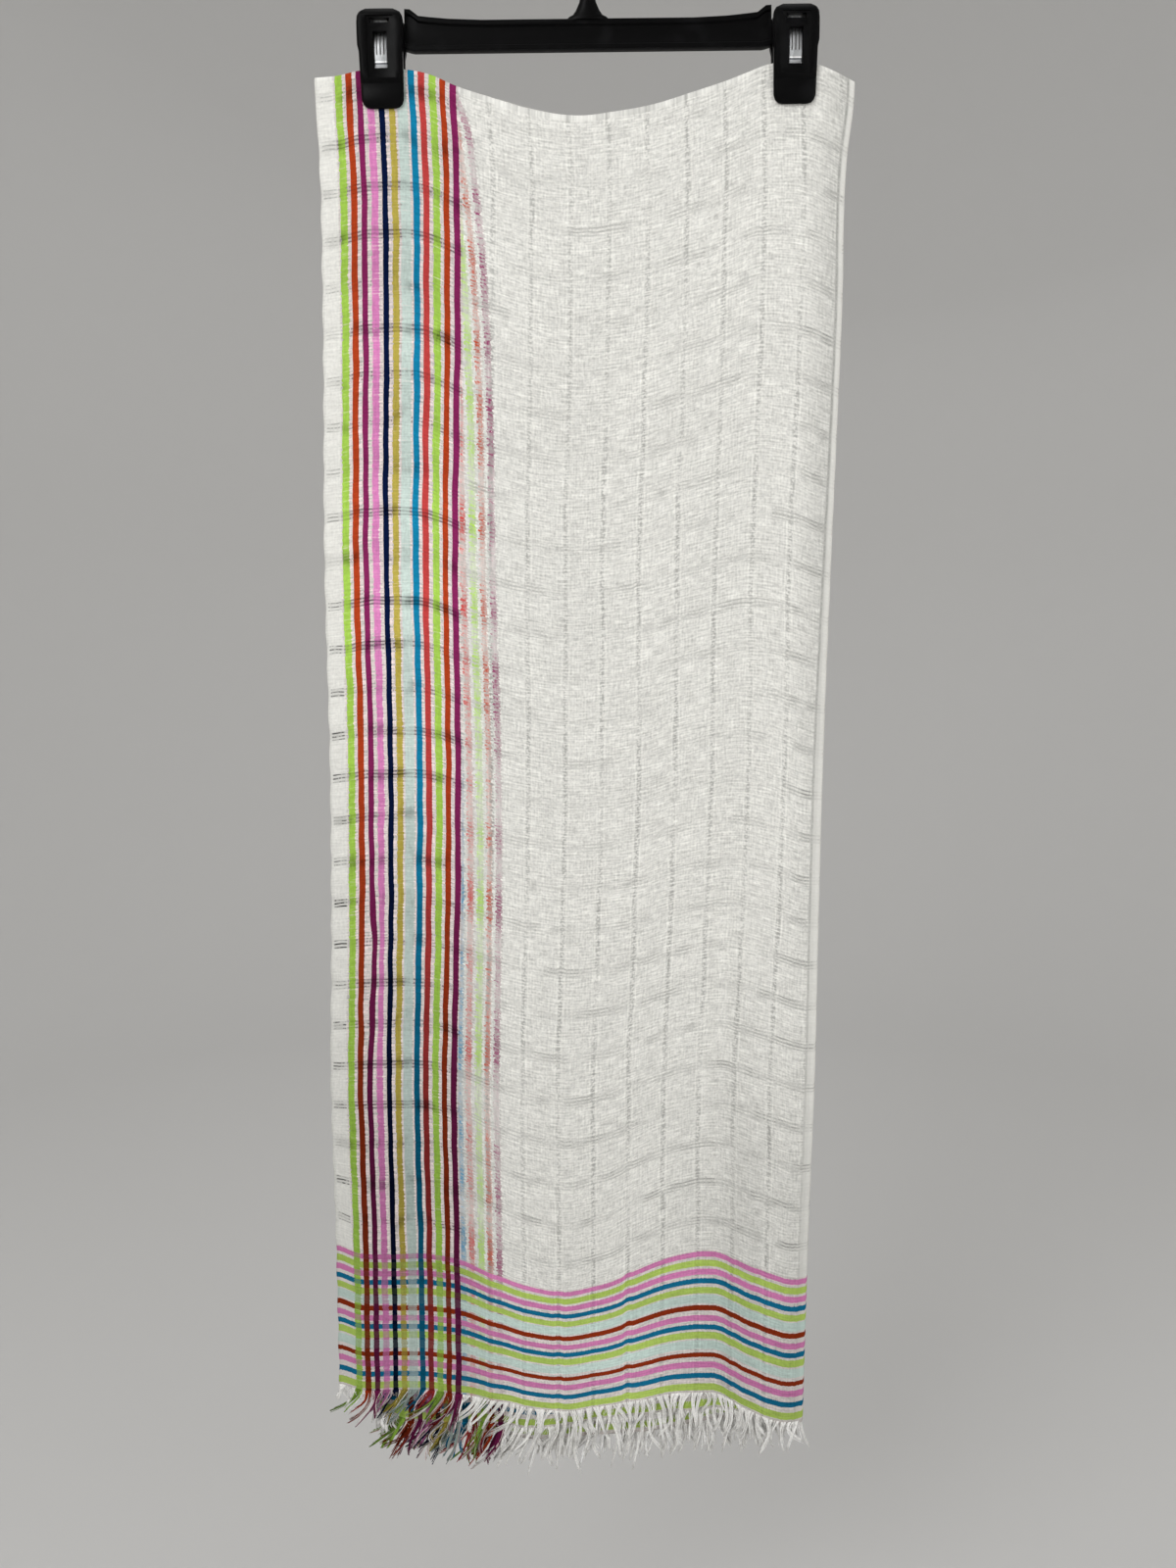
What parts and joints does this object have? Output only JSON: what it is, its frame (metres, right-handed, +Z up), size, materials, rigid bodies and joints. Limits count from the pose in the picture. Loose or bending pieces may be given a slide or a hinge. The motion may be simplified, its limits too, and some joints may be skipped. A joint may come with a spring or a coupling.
{
  "type": "scarf on clip hanger",
  "caption": "Sheer woven scarf with striped borders and raw fringe, folded in half twice and hung from a plastic clip hanger.",
  "frame": {"origin": "seat of the hanger's hook, the lowest point of its inside top, where a rail or rod holds it", "axes": "+Z up, +X to the right as seen by a viewer in front, the front faces -Y"},
  "size_m": [0.3771, 0.0196, 1.1278],
  "materials": {
    "gauze": "matte",
    "fringe": "matte",
    "plastic": "satin",
    "steel": "polished"
  },
  "bodies": {
    "root": {"scarf_front_fall": "gauze", "scarf_back_fall": "gauze", "fringe_front_outer": "fringe", "fringe_front_inner": "fringe", "fringe_back_inner": "fringe", "fringe_back_outer": "fringe", "hanger_bar": "plastic", "hanger_hook": "plastic", "clip_left_front_jaw": "plastic", "clip_left_back_jaw": "plastic", "clip_left_spring": "steel", "clip_right_front_jaw": "plastic", "clip_right_back_jaw": "plastic", "clip_right_spring": "steel"}
  },
  "joints": []
}
